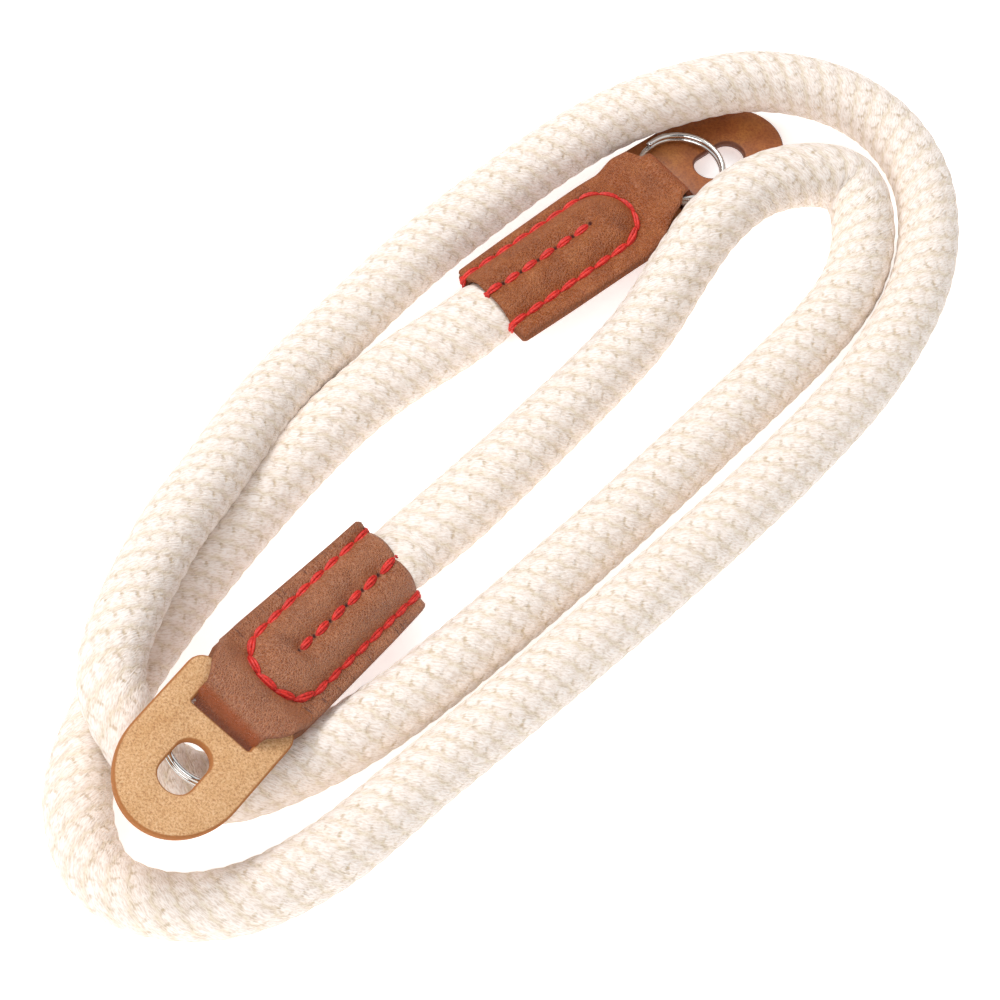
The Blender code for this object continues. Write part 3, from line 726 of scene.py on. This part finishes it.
def sheathMaterial(name, looks):
    # Full-grain cowhide, tanned with bark and oiled: brown, half matt, pebbled, with pale worn lines.
    material, tree, shader = newMaterial("vegetable-tanned cowhide, oiled, end " + name)
    uv = addNode(tree, "UVMap", {"uv_map": "strip"}).outputs["UV"]
    rim, hole, flange, bent = (addNode(tree, "Attribute", {"attribute_name": mark}).outputs["Fac"]
                               for mark in ("rim", "hole", "flange", "bent"))
    # Clouds of 6 mm, pebbles of 0.5 mm, and creases 0.8 mm apart that run across the flanges. The pores are
    # specks of 0.4 mm, coarser than real ones so that they show.
    cloud = addNode(tree, "TexNoise", Vector=uv, Scale=0.16, Detail=3.0, Roughness=0.6).outputs["Fac"]
    speck = addNode(tree, "TexNoise", Vector=uv, Scale=2.4, Detail=3.0, Roughness=0.8).outputs["Fac"]
    pebble = addNode(tree, "TexVoronoi", {"feature": "DISTANCE_TO_EDGE"}, Vector=uv, Scale=2.1)
    pebble = pebble.outputs["Distance"]
    lines = addNode(tree, "Mapping", Vector=uv, Scale=(1.3, 0.16, 1.0)).outputs["Vector"]
    crease = addNode(tree, "TexNoise", Vector=lines, Scale=1.0, Detail=2.0, Distortion=0.4).outputs["Fac"]
    folded = addNode(tree, "Math", {"operation": "MULTIPLY"}, i0=crease, i1=flange).outputs[0]

    base = addNode(tree, "ValToRGB", {"stops": looks["tones"]}, Fac=cloud).outputs["Color"]
    fine = addNode(tree, "ValToRGB", {"stops": looks["specks"]}, Fac=speck).outputs["Color"]
    colour = addNode(tree, "Mix", multiplyColours, i0=looks["speckle"], i6=base, i7=fine).outputs[2]
    line = addNode(tree, "MapRange", Value=pebble, From_Min=0.13, From_Max=0.02, To_Max=looks["wornLines"])
    # Painted shade: the creases are darkened.
    creased = addNode(tree, "ValToRGB", {"stops": looks["creaseShadeTones"]}, Fac=folded).outputs["Color"]
    # Painted shade: the middle seam's holes are painted dark, and made matt.
    holeShadeMask = addNode(tree, "MapRange", Value=hole, From_Min=0.55, From_Max=0.3).outputs["Result"]
    for settings, amount, tone in (
        (blendColours, line.outputs["Result"], hexColour(looks["worn"])),
        (multiplyColours, looks["creases"], creased),
        (blendColours, rim, hexColour(looks["rim"])),
        (blendColours, bent, hexColour(looks["fold"])),
        (blendColours, holeShadeMask, hexColour(looks["hole"])),
    ):
        colour = addNode(tree, "Mix", settings, i0=amount, i6=colour, i7=tone).outputs[2]

    grain = addNode(tree, "Math", {"operation": "MULTIPLY_ADD"}, i0=pebble, i1=1.6, i2=speck).outputs[0]
    deep = -3.0 * looks["creases"]
    height = addNode(tree, "Math", {"operation": "MULTIPLY_ADD"}, i0=folded, i1=deep, i2=grain).outputs[0]
    bump = addNode(tree, "Bump", Height=height, Strength=1.0, Distance=0.26 * mm)
    rough = addNode(tree, "MapRange", Value=cloud, From_Min=0.3, From_Max=0.7, To_Min=0.34, To_Max=0.42)
    matt = addNode(tree, "Math", {"operation": "MAXIMUM"}, i0=rough.outputs["Result"], i1=holeShadeMask)
    setInputs(tree, shader, {
        "Base Color": colour, "Normal": bump.outputs["Normal"], "Roughness": matt.outputs[0],
        "Specular IOR Level": looks["shine"],
    })
    return material


def waxedThread():
    # Waxed polyester sewing thread: bright red, with a slight shine along its strands. Its fibres are drawn
    # 0.45 mm apart, coarser than real ones so that they show.
    material, tree, shader = newMaterial("polyester thread, twisted and waxed")
    where = addNode(tree, "TexCoord").outputs["Object"]
    strands = addNode(tree, "TexNoise", Vector=where, Scale=2.2 / mm, Detail=2.0).outputs["Fac"]
    colour = addNode(tree, "ValToRGB", {"stops": thread["tones"]}, Fac=strands).outputs["Color"]
    bump = addNode(tree, "Bump", Height=strands, Strength=0.5, Distance=0.08 * mm)
    setInputs(tree, shader, {"Base Color": colour, "Normal": bump.outputs["Normal"], "Roughness": 0.5})
    return material


# Both ends are cut from one hide. b's tones are a little paler and pinker, painted light because b lies in
# the light, and its grain is more worn and creased.
hide = {"specks": ((0.36, "#9A7661"), (0.5, "#E4D5CB"), (0.6, "#FFFFFF")), "speckle": 0.55,
        # The crease tones are painted shade in the creases.
        "creaseShadeTones": ((0.60, "#FFFFFF"), (0.68, "#7A4A32")), "worn": "#D9A27C", "rim": "#86481F",
        # The hole colour is painted shade in the middle seam's holes.
        "fold": "#A04C16", "hole": "#46150B"}
sheathLooks = {
    "a": {**hide, "tones": ((0.3, "#8E4614"), (0.5, "#A0531B"), (0.7, "#B0652F")),
          "wornLines": 0.16, "creases": 0.15, "shine": 0.5},
    # Paler and pinker than a: painted light.
    "b": {**hide, "tones": ((0.3, "#924D1E"), (0.5, "#A45B29"), (0.7, "#B16A3C")),
          "wornLines": 0.26, "creases": 0.6, "shine": 0.8},
}
redThread = waxedThread()
for name in ends:
    makeSheath(name, sheathMaterial(name, sheathLooks[name]))
    makeStitches(name, redThread)


# Patches

patch = {
    "thick": 2.0,       # in the part, which places its upper face
    "shown": 1.6,
    "halfWidth": 11.4,
    "toEnd": 24.8,      # from the slot's far side to the rounded end
    "tip": 14.6,        # length of that end's half ellipse
    "corner": 3.6,
    "bar": 4.9,         # width of the bar behind the slot
    "clear": 1.4,       # from the folded band to that bar
    "slotHalf": 6.45,
    "slotCorner": 0.4,
    "holeRound": 0.98,  # share of the hole's half width
    "round": 0.5,       # of the cut edges
}
patchHoles = {"a": {"from": 51.9, "to": 62.7, "side": -0.3, "width": 6.0, "turn": 0.0},
              "b": {"from": 55.3, "to": 66.4, "side": -0.1, "width": 6.7, "turn": 4.0}}


def cornerArc(x, y, radius, start, steps):
    turns = [math.radians(start + 90.0 * k / steps) for k in range(steps + 1)]
    return [(x + radius * math.cos(turn), y + radius * math.sin(turn)) for turn in turns]


def roundedBox(x0, x1, y0, y1, radius, steps):
    corners = ((x1 - radius, y1 - radius), (x0 + radius, y1 - radius),
               (x0 + radius, y0 + radius), (x1 - radius, y0 + radius))
    return [spot for k, (x, y) in enumerate(corners) for spot in cornerArc(x, y, radius, 90 * k, steps)]


def patchHeights(end):
    if end["patchOver"]:
        return tunnel["half"] - fit - patch["thick"], tunnel["half"] - fit
    return -tunnel["half"] + fit, -tunnel["half"] + fit + patch["thick"]


def patchLines(name):
    # The patch's outline, slot and long hole, in the plan of its end.
    end, hole = ends[name], patchHoles[name]
    side, half, tip, corner = end["patchSide"], patch["halfWidth"], patch["tip"], patch["corner"]
    slotNear, slotFar = end["fold"] - leather - patch["clear"], end["fold"] + end["slotPast"]
    back = slotNear - patch["bar"]
    middle = slotFar + patch["toEnd"] - tip
    halfTurn = np.linspace(-math.pi / 2, math.pi / 2, 61)
    outline = [(middle + tip * math.cos(t), side + half * math.sin(t)) for t in halfTurn]
    outline += cornerArc(back + corner, side + half - corner, corner, 90, 6)
    outline += cornerArc(back + corner, side - half + corner, corner, 180, 6)
    slotHalf, holeHalf = patch["slotHalf"], hole["width"] / 2
    slotLine = roundedBox(slotNear, slotFar, side - slotHalf, side + slotHalf, patch["slotCorner"], 6)
    holeLine = roundedBox(hole["from"], hole["to"], hole["side"] - holeHalf, hole["side"] + holeHalf,
                          patch["holeRound"] * holeHalf, 10)
    return outline, slotLine, holeLine


def patchShape(name):
    edge = patch["round"]
    curve = bpy.data.curves.new("patch", "CURVE")
    curve.dimensions = "2D"
    curve.fill_mode = "BOTH"
    curve.extrude = patch["shown"] / 2 - edge
    curve.bevel_depth = edge
    curve.bevel_resolution = 2
    curve.offset = -edge
    for line in patchLines(name):
        spline = curve.splines.new("POLY")
        spline.points.add(len(line) - 1)
        for point, (x, y) in zip(spline.points, line):
            point.co = (x, y, 0.0, 1.0)
        spline.use_cyclic_u = True
    return meshFromCurve(curve)


def makePatch(name, material):
    end = ends[name]
    bm = bmesh.new()
    bm.from_mesh(patchShape(name))
    bmesh.ops.remove_doubles(bm, verts=bm.verts, dist=0.001)
    rim = bm.verts.layers.float.new("rim")
    flatAt = patch["shown"] / 2 - 0.01
    for vert in bm.verts:
        vert[rim] = 1.0 if abs(vert.co.z) < flatAt else 0.0
    bmesh.ops.recalc_face_normals(bm, faces=bm.faces)
    # It turns in its own plane round the middle of the fold.
    hinge = Matrix.Translation((end["fold"], end["patchSide"], patchHeights(end)[1] - patch["shown"] / 2))
    turn = Matrix.Rotation(math.radians(patchHoles[name]["turn"]), 4, "Z")
    swing = hinge @ turn @ Matrix.Translation((-end["fold"], -end["patchSide"], 0.0))
    bmesh.ops.transform(bm, matrix=tipFrame(end) @ swing, verts=bm.verts)
    obj = smoothObject("leather_patch_" + name, meshFromBmesh("leather_patch_" + name, bm), material)
    attach(obj, "patch_leather", "patch_" + name)
    print("patch", name, len(obj.data.polygons), "faces", [round(v / mm, 1) for v in obj.dimensions])


def patchMaterial(name, side):
    # The patches' thicker hide: smooth and scuffed on its grain side, napped and speckled on its flesh side.
    # Clouds of 7 mm, and a nap of 0.4 to 0.5 mm, coarser than the real one so that it shows.
    material, tree, shader = newMaterial(name)
    where = addNode(tree, "TexCoord").outputs["Object"]
    cloud = addNode(tree, "TexNoise", Vector=where, Scale=0.15 / mm, Detail=4.0, Roughness=0.6).outputs["Fac"]
    nap = addNode(tree, "TexNoise", Vector=where, Scale=side["nap"] / mm, Detail=3.0, Roughness=0.75)
    nap = nap.outputs["Fac"]
    rim = addNode(tree, "Attribute", {"attribute_name": "rim"}).outputs["Fac"]
    base = addNode(tree, "ValToRGB", {"stops": side["tones"]}, Fac=cloud).outputs["Color"]
    fine = addNode(tree, "ValToRGB", {"stops": side["specks"]}, Fac=nap).outputs["Color"]
    colour = addNode(tree, "Mix", multiplyColours, i0=side["speckle"], i6=base, i7=fine).outputs[2]
    edged = addNode(tree, "Mix", blendColours, i0=rim, i6=colour, i7=hexColour(side["edge"])).outputs[2]
    bump = addNode(tree, "Bump", Height=nap, Strength=side["relief"], Distance=0.3 * mm)
    setInputs(tree, shader, {"Base Color": edged, "Normal": bump.outputs["Normal"],
                             "Roughness": side["roughness"]})
    return material


grainSide = {"tones": ((0.3, "#935020"), (0.5, "#A8612D"), (0.72, "#BB7637")),
             "specks": ((0.36, "#A98468"), (0.56, "#FFFFFF")),
             "speckle": 0.5, "nap": 2.0, "relief": 0.25, "edge": "#6E3A1E", "roughness": 0.45}
fleshSide = {"tones": ((0.3, "#E5B987"), (0.7, "#F2CB9E")),
             "specks": ((0.36, "#B98E66"), (0.5, "#EFDAC4"), (0.6, "#FFFFFF")),
             "speckle": 0.75, "nap": 2.6, "relief": 1.0, "edge": "#B0703C", "roughness": 0.9}
makePatch("a", patchMaterial("bridle leather, grain side", grainSide))
makePatch("b", patchMaterial("bridle leather, flesh side", fleshSide))


# Split rings: two turns of wire that step over each other

ring = {
    "outer": 8.5,
    "wire": 1.1,
    "climb": 50.0,      # degrees over which the wire steps from one turn to the next
    "turnSteps": 72,
    "sides": 14,
    "starts": {"a": 151.0, "b": 205.0},
    "colour": "#D3D1CE",
}


def makeRing(name, material):
    end = ends[name]
    low, high = patchHeights(end)
    wire = ring["wire"]
    height = low - fit - wire if end["patchOver"] else high + fit + wire
    bm = bmesh.new()
    bmesh.ops.create_circle(bm, segments=ring["sides"], radius=wire / 2, cap_ends=False)
    bmesh.ops.rotate(bm, verts=bm.verts, matrix=Matrix.Rotation(math.pi / 2, 3, "X"))
    bmesh.ops.translate(bm, verts=bm.verts, vec=(ring["outer"] - wire / 2, 0.0, -wire / 2))
    geom = list(bm.edges)
    level = 360.0 - ring["climb"]
    for angle, rise in ((level, 0.0), (ring["climb"], wire), (level, 0.0)):
        steps = round(ring["turnSteps"] * angle / 360.0)
        made = bmesh.ops.spin(bm, geom=geom, cent=(0, 0, 0), axis=(0, 0, 1), dvec=(0, 0, rise / steps),
                              angle=math.radians(angle), steps=steps, use_merge=False, use_duplicate=False)
        geom = [g for g in made["geom_last"] if isinstance(g, bmesh.types.BMEdge)]
    bmesh.ops.holes_fill(bm, edges=bm.edges, sides=0)
    bmesh.ops.recalc_face_normals(bm, faces=bm.faces)
    turn = Matrix.Rotation(math.radians(ring["starts"][name]), 4, "Z")
    spot = Matrix.Translation((end["fold"] - end["ringBack"] + ring["outer"], end["ringSide"], height))
    bmesh.ops.transform(bm, matrix=tipFrame(end) @ spot @ turn, verts=bm.verts)
    obj = smoothObject("split_ring_" + name, meshFromBmesh("split_ring_" + name, bm), material)
    attach(obj, "ring_steel", "ring_" + name)
    print("ring", name, len(obj.data.polygons), "faces")


def platedSteel():
    # Spring steel wire, drawn and nickel plated: a near mirror with faint rubbed patches, 1.1 mm wide.
    material, tree, shader = newMaterial("spring steel, nickel plated")
    where = addNode(tree, "TexCoord").outputs["Object"]
    rubbed = addNode(tree, "TexNoise", Vector=where, Scale=0.9 / mm, Detail=3.0).outputs["Fac"]
    rough = addNode(tree, "MapRange", Value=rubbed, From_Min=0.3, From_Max=0.7, To_Min=0.08, To_Max=0.2)
    setInputs(tree, shader, {"Base Color": hexColour(ring["colour"]), "Metallic": 1.0,
                             "Roughness": rough.outputs["Result"]})
    return material


steel = platedSteel()
for name in ends:
    makeRing(name, steel)


# Camera, floor and light

view = {
    "eye": (-4.2, -348.9, 553.8),
    "target": (-4.2, -2.9, 0.0),
    "focal": 3590.0,  # in pixels of the photograph, which is this wide:
    "width": 1000,
    "sensor": 36.0,
}
stage = {
    "floorHalf": 3.0,  # metres
    "floorColour": "#FAFAFA",
    "floorGlow": 0.5,
    "sky": 0.97,
    # By height: a tent of white cloth, darker round the horizon, so that the steel has something to mirror.
    "tent": ((0.05, "#1E1E21"), (0.3, "#6A6A6D"), (0.45, "#E8E8E8"), (0.7, "#FFFFFF")),
    # A dark card in the tent, where the photograph was taken from, draws a dark line along each wire.
    "card": ((0.85, "#FFFFFF"), (0.89, "#1C1A1F")),
    "lamps": {"key": {"spot": (-0.27, 0.62, 0.85), "size": 0.45, "power": 5.7},
              "fill": {"spot": (-0.35, -0.80, 0.6), "size": 0.8, "power": 6.3}},
}


def aimed(spot, target):
    return Matrix.Translation(spot) @ (target - spot).to_track_quat("-Z", "Y").to_matrix().to_4x4()


def makeCamera():
    camera = bpy.data.cameras.new("camera")
    camera.sensor_width = view["sensor"]
    camera.lens = view["focal"] / view["width"] * camera.sensor_width
    camera.clip_start = 0.01
    obj = linked("camera", camera)
    obj.matrix_world = aimed(Vector(view["eye"]) * mm, Vector(view["target"]) * mm)
    bpy.context.scene.camera = obj


def makeFloor():
    bm = bmesh.new()
    bmesh.ops.create_grid(bm, x_segments=1, y_segments=1, size=stage["floorHalf"])
    mesh = meshFromBmesh("floor", bm)
    material, tree, shader = newMaterial("matt white paper")
    setInputs(tree, shader, {
        "Base Color": hexColour(stage["floorColour"]), "Roughness": 0.9, "Specular IOR Level": 0.1,
        "Emission Color": hexColour("#FFFFFF"), "Emission Strength": stage["floorGlow"],
    })
    mesh.materials.append(material)
    linked("floor", mesh)


def makeSky():
    world = bpy.data.worlds.new("studio")
    world.use_nodes = True
    tree = world.node_tree
    where = addNode(tree, "TexCoord").outputs["Generated"]
    height = addNode(tree, "SeparateXYZ", Vector=where).outputs["Z"]
    tent = addNode(tree, "ValToRGB", {"stops": stage["tent"]}, Fac=height).outputs["Color"]
    facing = (Vector(view["eye"]) - Vector(view["target"])).normalized()
    near = addNode(tree, "VectorMath", {"operation": "DOT_PRODUCT"}, i0=where, i1=tuple(facing))
    card = addNode(tree, "ValToRGB", {"stops": stage["card"]}, Fac=near.outputs["Value"]).outputs["Color"]
    lit = addNode(tree, "Mix", multiplyColours, i0=1.0, i6=tent, i7=card).outputs[2]
    setInputs(tree, tree.nodes["Background"], {"Color": lit, "Strength": stage["sky"]})
    bpy.context.scene.world = world


def makeLamps():
    for name, looks in stage["lamps"].items():
        lamp = bpy.data.lights.new(name, "AREA")
        lamp.size = looks["size"]
        lamp.energy = looks["power"]
        linked(name, lamp).matrix_world = aimed(Vector(looks["spot"]), Vector((0.0, 0.0, 0.0)))


makeCamera()
makeFloor()
makeSky()
makeLamps()
bpy.context.scene.view_settings.view_transform = "Standard"
print("stage made")
